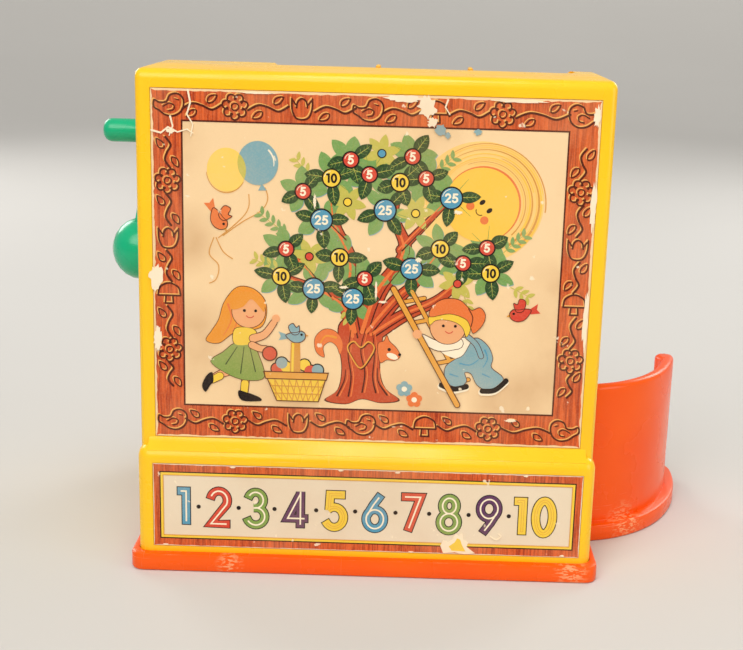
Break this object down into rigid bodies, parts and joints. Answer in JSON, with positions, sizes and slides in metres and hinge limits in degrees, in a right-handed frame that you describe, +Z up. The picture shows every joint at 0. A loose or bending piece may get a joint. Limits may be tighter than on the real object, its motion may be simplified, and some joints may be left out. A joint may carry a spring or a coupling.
{
  "type": "toy cash register",
  "caption": "Toy cash register with sloping coin chute, three push keys, side crank with bell, spring-out drawer and a side scoop that catches the coins.",
  "frame": {"origin": "centre of the housing's base on the underside, on the table plane", "axes": "+Z up; +Y out of the customer's picture side; -Y to the operator; +X towards the crank, -X towards the coin scoop"},
  "size_m": [0.2876, 0.165, 0.222],
  "materials": {
    "base_orange": "gloss",
    "housing_yellow": "gloss",
    "chute_yellow": "satin",
    "picture_paper": "printed",
    "number_paper": "printed",
    "clear_plastic": "clear",
    "crank_green": "gloss",
    "key_red": "gloss",
    "key_yellow": "gloss",
    "key_blue": "gloss",
    "white_plastic": "satin",
    "steel": "satin",
    "bell_chrome": "polished"
  },
  "bodies": {
    "register": {"base_pan": "base_orange", "base_screw_1": "steel", "base_screw_2": "steel", "base_screw_3": "steel", "base_screw_4": "steel", "bell_gong": "bell_chrome", "bell_post": "white_plastic", "bell_screw": "steel", "bracket_screw_1": "steel", "bracket_screw_2": "steel", "chute_screw_1": "steel", "chute_screw_2": "steel", "chute_screw_3": "steel", "chute_screw_4": "steel", "coin_chute": "chute_yellow", "coin_window": "clear_plastic", "deck_screw_1": "steel", "deck_screw_2": "steel", "deck_screw_3": "steel", "deck_screw_4": "steel", "drawer_spring": "steel", "housing": "housing_yellow", "inner_deck": "chute_yellow", "key_rod": "steel", "key_spring_five": "steel", "key_spring_ten": "steel", "key_spring_twentyfive": "steel", "latch_pin": "steel", "latch_spring": "steel", "mechanism_bracket": "steel", "number_label": "number_paper", "picture_label": "picture_paper", "shaft_bush": "white_plastic", "striker_pin": "steel", "striker_spring": "steel"},
    "crank": {"crank_handle": "crank_green", "crank_shaft": "steel", "cam_drum": "white_plastic"},
    "key_5": {"key_five": "key_red"},
    "key_10": {"key_ten": "key_yellow"},
    "key_25": {"key_twentyfive": "key_blue"},
    "drawer": {"drawer": "base_orange"},
    "latch": {"drawer_latch": "white_plastic"},
    "striker": {"striker_arm": "white_plastic"}
  },
  "joints": [
    {"name": "crank_turn", "type": "hinge", "parent": "register", "child": "crank", "pos_m": [0.104, 0.0175, 0.1345], "axis": [1, 0, 0], "continuous": true},
    {"name": "key_5_press", "type": "hinge", "parent": "register", "child": "key_5", "pos_m": [0.0196, 0.014, 0.195], "axis": [1, 0, 0], "range_deg": [0, 5], "stiffness_Nm_per_rad": 1.2, "springref_deg": -6.88},
    {"name": "key_10_press", "type": "hinge", "parent": "register", "child": "key_10", "pos_m": [-0.0206, 0.014, 0.195], "axis": [1, 0, 0], "range_deg": [0, 5], "stiffness_Nm_per_rad": 1.2, "springref_deg": -6.88},
    {"name": "key_25_press", "type": "hinge", "parent": "register", "child": "key_25", "pos_m": [-0.0648, 0.014, 0.195], "axis": [1, 0, 0], "range_deg": [0, 5], "stiffness_Nm_per_rad": 1.2, "springref_deg": -6.88},
    {"name": "drawer_slide", "type": "slide", "parent": "register", "child": "drawer", "axis": [0, -1, 0], "range_m": [0, 0.0873], "deforming": ["drawer_spring"]},
    {"name": "latch_lift", "type": "hinge", "parent": "register", "child": "latch", "pos_m": [0.055, 0.004, 0.066], "axis": [1, 0, 0], "range_deg": [0, 6], "stiffness_Nm_per_rad": 0.05, "springref_deg": -20.05},
    {"name": "striker_swing", "type": "hinge", "parent": "register", "child": "striker", "pos_m": [0.0685, -0.012, 0.104], "axis": [1, 0, 0], "range_deg": [0, 12], "stiffness_Nm_per_rad": 0.03, "springref_deg": -17.19}
  ]
}
